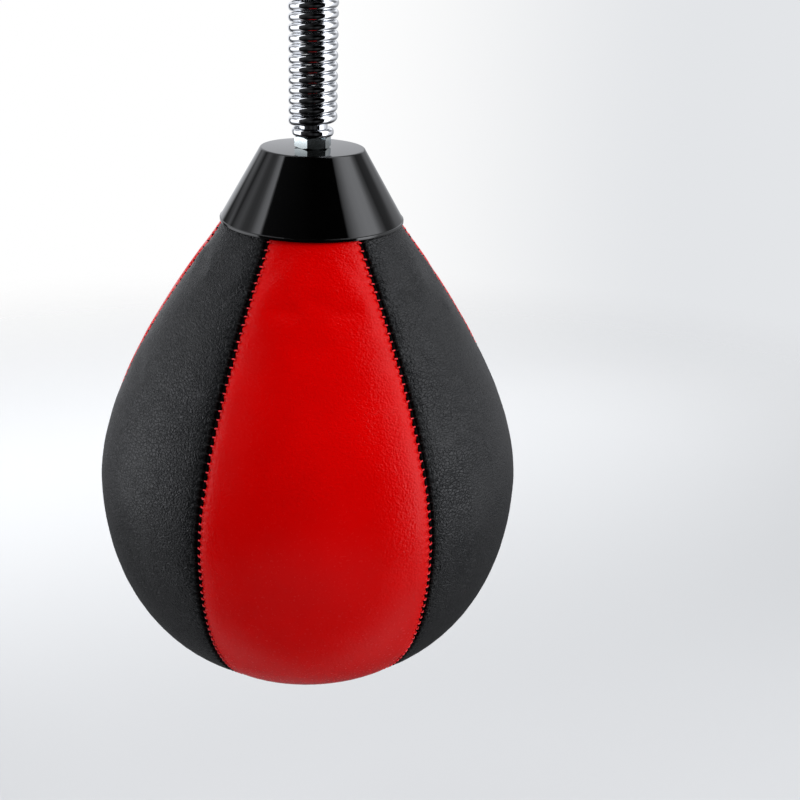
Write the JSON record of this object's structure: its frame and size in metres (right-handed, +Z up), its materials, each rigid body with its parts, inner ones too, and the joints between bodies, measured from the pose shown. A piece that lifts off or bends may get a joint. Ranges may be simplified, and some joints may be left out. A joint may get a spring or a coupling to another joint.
{
  "type": "speed bag on a spring mount",
  "caption": "Pear-shaped speed bag of stitched red and black gores under a moulded cap, hung from a ceiling plate by a close-wound spring.",
  "frame": {"origin": "centre of the ceiling plate's top face, where it meets the ceiling", "axes": "+Z up out of the plate into the ceiling along the spring's axis; -Y towards the user, through the middle of a red panel"},
  "size_m": [0.24, 0.24, 0.5098],
  "materials": {
    "red_leather": "semi-gloss fine grain",
    "black_leather": "semi-gloss fine grain",
    "black_welt": "matte",
    "chrome_wire": "polished",
    "chromed_plug": "polished",
    "zinc_steel": "zinc plated",
    "black_paint": "powder coat",
    "cap_plastic": "gloss",
    "clamp_plastic": "matte",
    "lining_cloth": "plain weave",
    "butyl_rubber": "matte"
  },
  "bodies": {
    "mount": {"ceiling_plate": "black_paint", "threaded_boss": "black_paint", "boss_weld": "black_paint", "upper_lock_nut": "zinc_steel", "upper_spring_plug": "chromed_plug", "spring_top_turns": "chrome_wire"},
    "side_bend_coils": {"spring_side_bend_turns": "chrome_wire"},
    "front_bend_coils": {"spring_front_bend_turns": "chrome_wire"},
    "twist_coils": {"spring_twist_turns": "chrome_wire"},
    "bag": {"spring_bottom_turns": "chrome_wire", "lower_spring_plug": "chromed_plug", "lower_lock_nut": "zinc_steel", "top_cap": "cap_plastic", "neck_clamp": "clamp_plastic", "clamp_washer": "zinc_steel", "clamp_nut": "zinc_steel", "bag_lining": "lining_cloth", "bladder": "butyl_rubber", "air_valve": "butyl_rubber", "bottom_patch": "black_leather", "red_panel_1": "red_leather", "black_panel_1": "black_leather", "red_panel_2": "red_leather", "black_panel_2": "black_leather", "red_panel_3": "red_leather", "black_panel_3": "black_leather", "seam_welt_1": "black_welt", "seam_welt_2": "black_welt", "seam_welt_3": "black_welt", "seam_welt_4": "black_welt", "seam_welt_5": "black_welt", "seam_welt_6": "black_welt"}
  },
  "joints": [
    {"name": "side_bend", "type": "hinge", "parent": "mount", "child": "side_bend_coils", "pos_m": [0, 0, -0.0674], "axis": [0, 1, 0], "range_deg": [-25, 25], "stiffness_Nm_per_rad": 8, "deforming": ["spring_top_turns"]},
    {"name": "front_bend", "type": "hinge", "parent": "side_bend_coils", "child": "front_bend_coils", "pos_m": [0, 0, -0.11285], "axis": [1, 0, 0], "range_deg": [-25, 25], "stiffness_Nm_per_rad": 8, "deforming": ["spring_side_bend_turns"]},
    {"name": "bag_twist", "type": "hinge", "parent": "front_bend_coils", "child": "twist_coils", "pos_m": [0, 0, -0.1381], "axis": [0, 0, 1], "range_deg": [-20, 20], "stiffness_Nm_per_rad": 3.7, "deforming": ["spring_front_bend_turns", "spring_twist_turns"]},
    {"name": "spring_stretch", "type": "slide", "parent": "twist_coils", "child": "bag", "axis": [0, 0, -1], "range_m": [0, 0.01], "stiffness_N_per_m": 25600, "springref_m": -0.002, "deforming": ["spring_bottom_turns"]}
  ]
}
